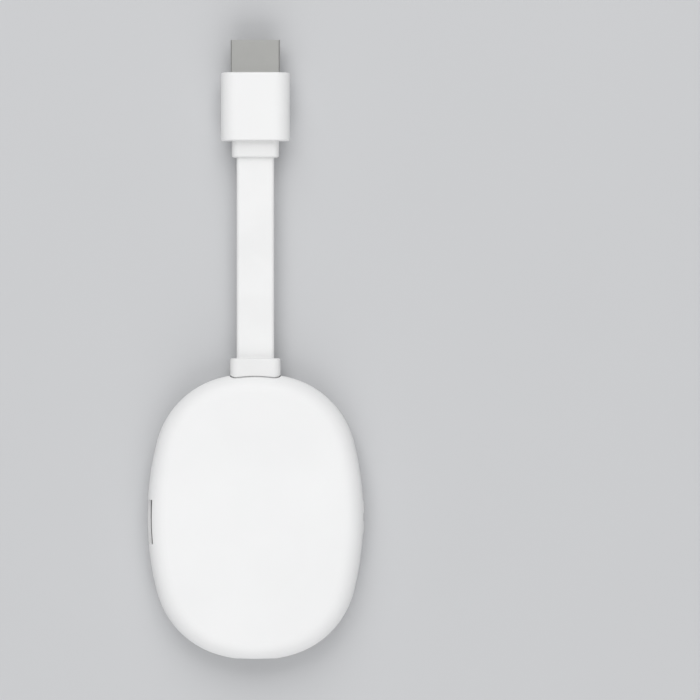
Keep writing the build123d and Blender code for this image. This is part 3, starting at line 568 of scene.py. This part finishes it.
# %% [markdown]
# The lead is a flat strip that crosses the joint between the housing and the plug. A rigid strip would
# tear there, so it is swept again with many rings along its length, enough for it to bend between the two
# bodies. It is shown pulled straight, so its route has only the places that matter to a lead: its start
# inside the housing, the mouth of the housing's collar, the middle that it bends about, the mouth of the
# plug's collar, and its end.

# %% Route of the lead
jacket_low, jacket_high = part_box("lead_jacket")
collar_low, collar_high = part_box("housing_grommet")
plug_collar_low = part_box("plug_grommet")[0]
hinge = next(joint for joint in frame["joints"] if joint["name"] == "lead_bend")
hinge_point = Vector(hinge["pos_m"])
lead_width = jacket_high.x - jacket_low.x
lead_thickness = jacket_high.z - jacket_low.z
lead_z = (jacket_low.z + jacket_high.z) / 2


def straight_route(name, start_y, end_y):
    """A NURBS line through the lead's stations, as a chain of edges."""
    stations = [start_y, collar_high.y, hinge_point.y, plug_collar_low.y, end_y]
    curve = bpy.data.curves.new(name, "CURVE")
    curve.dimensions = "3D"
    spline = curve.splines.new("NURBS")
    spline.points.add(len(stations) - 1)
    for point, station in zip(spline.points, stations):
        point.co = (0, station, lead_z, 1)
    spline.order_u = 3
    spline.use_endpoint_u = True
    holder = bpy.data.objects.new(name, curve)
    bpy.context.scene.collection.objects.link(holder)
    graph = bpy.context.evaluated_depsgraph_get()
    chain = bpy.data.meshes.new_from_object(holder.evaluated_get(graph))
    bpy.data.objects.remove(holder)
    return chain


jacket_route = straight_route("jacket route", jacket_low.y, jacket_high.y)
print("lead in mm:", round(lead_width / MM, 2), "by", round(lead_thickness / MM, 2))
print("route of", len(jacket_route.vertices), "points")

# %% [markdown]
# The section is a rounded rectangle: a flat strip whose long edges are a small radius, as they come from
# the die. The sweep keeps the section upright with the Z-up normal, and the resting place of every point
# is stored before anything bends.

# %% Sweep the jacket
LEAD_CORNER = 1.05 * MM
LEAD_RINGS = 96
CORNER_STEPS = 8


def sweep_strip(name, chain, width, height, corner, material):
    """A flat strip swept along a chain of edges."""
    tree = Tree(
        name, Width=width, Height=height, Corner=corner, Rings=LEAD_RINGS, Corner_Steps=CORNER_STEPS
    )
    rings = tree.node(
        "ResampleCurve", {"Curve": tree.host_curve(), "Count": tree.inputs["Rings"]}, mode="COUNT"
    )
    upright = tree.node("SetCurveNormal", {"Curve": rings}, mode="Z_UP")
    section = tree.node(
        "CurvePrimitiveQuadrilateral", {"Width": tree.inputs["Width"], "Height": tree.inputs["Height"]}
    )
    rounded = tree.node(
        "FilletCurve",
        {"Curve": section, "Radius": tree.inputs["Corner"], "Count": tree.inputs["Corner_Steps"]},
        mode="POLY",
    )
    strip = tree.node("CurveToMesh", {"Curve": upright, "Profile Curve": rounded, "Fill Caps": True})
    return tree.run(name, chain, tree.keep_place(strip), material)


lead = sweep_strip("lead_strip", jacket_route, lead_width, lead_thickness, LEAD_CORNER, lead_white)

# %% [markdown]
# Inside the jacket run the conductors, eight round cores side by side, which show at the two ends when the
# covers are off. They are the same sweep with a round section, set on a row of points by instancing.

# %% Row of conductors
WIRE_COUNT = 8
WIRE_SIDES = 12
wires_low, wires_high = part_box("lead_conductors")
wire_size = wires_high.z - wires_low.z
wire_pitch = (wires_high.x - wires_low.x - wire_size) / (WIRE_COUNT - 1)


def sweep_wires(name, chain, material):
    """Round cores side by side along a chain of edges."""
    tree = Tree(name, Wire_Size=wire_size, Pitch=wire_pitch, Wires=WIRE_COUNT, Rings=LEAD_RINGS)
    rings = tree.node(
        "ResampleCurve", {"Curve": tree.host_curve(), "Count": tree.inputs["Rings"]}, mode="COUNT"
    )
    radius = tree.maths("MULTIPLY", tree.inputs["Wire_Size"], 0.5)
    section = tree.node("CurvePrimitiveCircle", {"Resolution": WIRE_SIDES, "Radius": radius})
    core = tree.node("CurveToMesh", {"Curve": rings, "Profile Curve": section, "Fill Caps": True})
    row = tree.centred_row(tree.inputs["Wires"], tree.inputs["Pitch"])
    wires = tree.node("InstanceOnPoints", {"Points": row, "Instance": core})
    loose = tree.node("RealizeInstances", {0: wires})
    return tree.run(name, chain, tree.keep_place(loose), material)


wire_route = straight_route("wire route", wires_low.y, wires_high.y)
wires = sweep_wires("lead_wires", wire_route, wire_cover)

# %% [markdown]
# The joint is one hinge in the lead's middle, and such a lead takes a bend of about four millimetres radius
# there. The swept lead and its cores stand in for the frame's jacket and conductors, which are hidden, and
# their meshes are set in place in world space.

# %% Swap the frame's lead for the swept one
for piece, node in ((lead, "lead_jacket"), (wires, "lead_conductors")):
    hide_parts(node)
    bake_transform(piece)

# %% [markdown]
# The plug's contacts are spring fingers. Each rises from the floor of the slot, bows towards the middle so
# that it presses on the television's blade, and dips again at its tip so that the blade can slide in. A
# squared sine gives that bow, flat where it leaves the slot's face and flat again at its top.

# %% Line of one contact finger
UPPER_FINGERS = 10
LOWER_FINGERS = 9
FINGER_PITCH = 1.0 * MM
FINGER_WIDTH = 0.4 * MM
FINGER_SHEET = 0.15 * MM
FINGER_BOW = 0.22 * MM
SPRUNG_LENGTH = 7.5 * MM
PAST_THE_BOW = 1.08
contacts_low, contacts_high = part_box("hdmi_contacts")


def chain_of(name, points):
    """A chain of edges through points."""
    mesh = bpy.data.meshes.new(name)
    mesh.from_pydata(points, [(i, i + 1) for i in range(len(points) - 1)], [])
    return mesh


def finger_line(face, steps=24):
    """From the tail to the tip: flat along the slot's face, bowed inwards, and flat for the last bit."""
    start = contacts_high.y - SPRUNG_LENGTH
    points = [(0, contacts_low.y, face), (0, start, face)]
    for step in range(1, steps + 1):
        along = step / steps
        lift = math.sin(math.pi * min(1, along * PAST_THE_BOW)) ** 2
        points.append((0, start + along * SPRUNG_LENGTH, face - FINGER_BOW * lift))
    return points


slot_face = contacts_high.z - FINGER_SHEET / 2
finger_chain = chain_of("finger", finger_line(slot_face))
print("finger of", len(finger_chain.vertices), "points")

# %% [markdown]
# One finger is swept along the bowed line and set out on a row of points, so the row is right for any
# pitch. The lower row has one finger fewer and stands half a step aside, which a centred row gives by
# itself, and half a turn about the plug's axis brings it to the slot's other face.


# %% Rows of contact fingers
def finger_row(name, chain, count, turned):
    """Fingers swept along one chain, set out across the plug and turned to their side of the slot."""
    tree = Tree(name, Fingers=count, Pitch=FINGER_PITCH, Width=FINGER_WIDTH, Sheet=FINGER_SHEET, Turn=turned)
    upright = tree.node("SetCurveNormal", {"Curve": tree.host_curve()}, mode="Z_UP")
    section = tree.node(
        "CurvePrimitiveQuadrilateral", {"Width": tree.inputs["Width"], "Height": tree.inputs["Sheet"]}
    )
    finger = tree.node("CurveToMesh", {"Curve": upright, "Profile Curve": section, "Fill Caps": True})
    row = tree.centred_row(tree.inputs["Fingers"], tree.inputs["Pitch"])
    fingers = tree.node("InstanceOnPoints", {"Points": row, "Instance": finger})
    loose = tree.node("RealizeInstances", {0: fingers})
    on_axis = tree.node("Transform", {"Geometry": loose, "Translation": (0, 0, -lead_z)})
    rotation = tree.vector(Y=tree.inputs["Turn"])
    rotated = tree.node("Transform", {"Geometry": on_axis, "Rotation": rotation})
    in_plug = tree.node("Transform", {"Geometry": rotated, "Translation": (0, 0, lead_z)})
    return tree.run(name, chain, in_plug, contact_gold)


upper_row = finger_row("hdmi_upper_fingers", finger_chain, UPPER_FINGERS, 0.0)
lower_row = finger_row("hdmi_lower_fingers", finger_chain, LOWER_FINGERS, math.pi)
for row in (upper_row, lower_row):
    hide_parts("hdmi_contacts")
    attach(row, "plug")

# %% [markdown]
# Now that the plug's pieces exist, everything that goes along with the lead is listed: the housing's
# collar, the cores, the two rows of fingers and the pieces of the plug.

plug_pieces = [
    "plug_boot", "plug_grommet", "hdmi_shell", "hdmi_insulator",
    "plug_board", "plug_shield_can", "plug_inner_mould",
]
on_the_lead = [nodes["housing_grommet"], wires, upper_row, lower_row]
on_the_lead += [nodes[name] for name in plug_pieces]

# %% [markdown]
# The power port's contacts are pads on both faces of its tongue. Real pads are of two lengths: in each row
# the four power and ground contacts reach further forward than the signal ones, so that power is there
# first. The row is instanced from one plate, whose length changes with its place in the row.

# %% Pads on the port's tongue
PAD_COUNT = 12
PAD_WIDTH = 0.25 * MM
PAD_SHEET = 0.1 * MM
SHORT_BY = 0.55 * MM
LONG_PADS = (0, 3, 8, 11)
INDEX_TOLERANCE = 0.1
pads_low, pads_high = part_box("usb_c_contacts")
pad_pitch = (pads_high.x - pads_low.x - PAD_WIDTH) / (PAD_COUNT - 1)


def pad_rows(name):
    """Two rows of plates, above and below the tongue; the short ones start further back."""
    tree = Tree(name, Pads=PAD_COUNT, Pitch=pad_pitch, Width=PAD_WIDTH, Sheet=PAD_SHEET, Short_By=SHORT_BY)
    length = pads_high.y - pads_low.y
    size = tree.vector(X=tree.inputs["Width"], Y=length, Z=tree.inputs["Sheet"])
    plate = tree.node("MeshCube", {"Size": size})
    first = (pads_low.x + PAD_WIDTH / 2, pads_low.y + length / 2, 0)
    step = tree.vector(X=tree.inputs["Pitch"])
    row = tree.node("MeshLine", {"Count": tree.inputs["Pads"], "Start Location": first, "Offset": step})
    index = tree.node("InputIndex")
    short = 1.0
    for place in LONG_PADS:
        long = tree.maths("COMPARE", index, float(place), INDEX_TOLERANCE)
        short = tree.maths("SUBTRACT", short, long)
    cut = tree.maths("MULTIPLY", short, tree.inputs["Short_By"])
    scale_y = tree.maths("SUBTRACT", 1.0, tree.maths("DIVIDE", cut, length))
    scale = tree.vector(X=1.0, Y=scale_y, Z=1.0)
    back = tree.vector(Y=tree.maths("MULTIPLY", cut, 0.5))
    placed = tree.node("SetPosition", {"Geometry": row, "Offset": back})
    plates = tree.node("InstanceOnPoints", {"Points": placed, "Instance": plate, "Scale": scale})
    joined = tree.node("JoinGeometry")
    for z in (pads_low.z + PAD_SHEET / 2, pads_high.z - PAD_SHEET / 2):
        side = tree.node("Transform", {"Geometry": plates, "Translation": (0, 0, z)})
        tree.group.links.new(side, joined.node.inputs[0])
    return tree.run(name, bpy.data.meshes.new(name + " host"), joined, contact_gold)


port_pads = pad_rows("usb_c_pads")
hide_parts("usb_c_contacts")
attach(port_pads, "housing")

# %% [markdown]
# The stage is a plain pale sheet, a little darker than the stick so that its white edge reads against it.
# It lies just under the flat back. A dull surface with the faintest mottle takes the soft shadow.

# %% Floor
FLOOR_SIZE = 3.0
FLOOR_DROP = 0.02 * MM
FLOOR_MOTTLE = 40 * MM


def floor_finish():
    """Dull pale sheet with the faintest mottle."""
    pale, shade = (0.60, 0.605, 0.615), (0.59, 0.595, 0.605)
    finish = Finish("pale floor", pale, 0.85, Specular_IOR_Level=0.2)
    finish.set("Base Color", finish.blend(finish.noise(FLOOR_MOTTLE, 2), pale, shade))
    return finish.material


floor_mesh = bpy.data.meshes.new("floor")
reach = FLOOR_SIZE / 2
floor_z = cad_box[0].z - FLOOR_DROP
corners = [(-reach, -reach), (reach, -reach), (reach, reach), (-reach, reach)]
floor_mesh.from_pydata([(x, y, floor_z) for x, y in corners], [], [(0, 1, 2, 3)])
floor_mesh.materials.append(floor_finish())
floor = bpy.data.objects.new("floor", floor_mesh)
bpy.context.scene.collection.objects.link(floor)
print("floor at", round(floor_z / MM, 2), "mm")

# %% [markdown]
# The photograph is a shadowless catalogue picture: a broad even light from above and just enough fall-off
# at the edges to show that they are round. A large weak lamp overhead lights the level faces and fills the
# metal's reflection, the key comes in over the plug's end and makes the pebble's upper edge the brightest
# part, and a weaker fill over the port's end lifts the lower edge. The world adds a low even level.
# Together they light a level surface to about the value that its colour is written with.

# %% Lamps and world
LAMP_AIM = Vector((0, 45 * MM, 0))
SKY_COLOR = (0.97, 0.98, 1.0)
SKY_STRENGTH = 0.33


def soft_lamp(name, place, size, watts):
    """A square area lamp at place, in metres, that looks at the stick's middle."""
    data = bpy.data.lights.new(name, "AREA")
    data.shape = "SQUARE"
    data.size = size
    data.energy = watts
    lamp = bpy.data.objects.new(name, data)
    lamp.location = place
    lamp.rotation_euler = (LAMP_AIM - Vector(place)).to_track_quat("-Z", "Y").to_euler()
    lamp.visible_camera = False
    bpy.context.scene.collection.objects.link(lamp)


soft_lamp("overhead", (0.0, 0.05, 1.44), size=2.4, watts=4.9)
soft_lamp("key", (-0.1, 1.05, 1.0), size=1.3, watts=12.2)
soft_lamp("fill", (0.1, -1.05, 0.85), size=1.3, watts=9.0)

world = bpy.data.worlds.new("studio")
world.use_nodes = True
background = world.node_tree.nodes["Background"]
background.inputs["Color"].default_value = (*SKY_COLOR, 1)
background.inputs["Strength"].default_value = SKY_STRENGTH
bpy.context.scene.world = world
bpy.context.scene.view_settings.view_transform = "Standard"
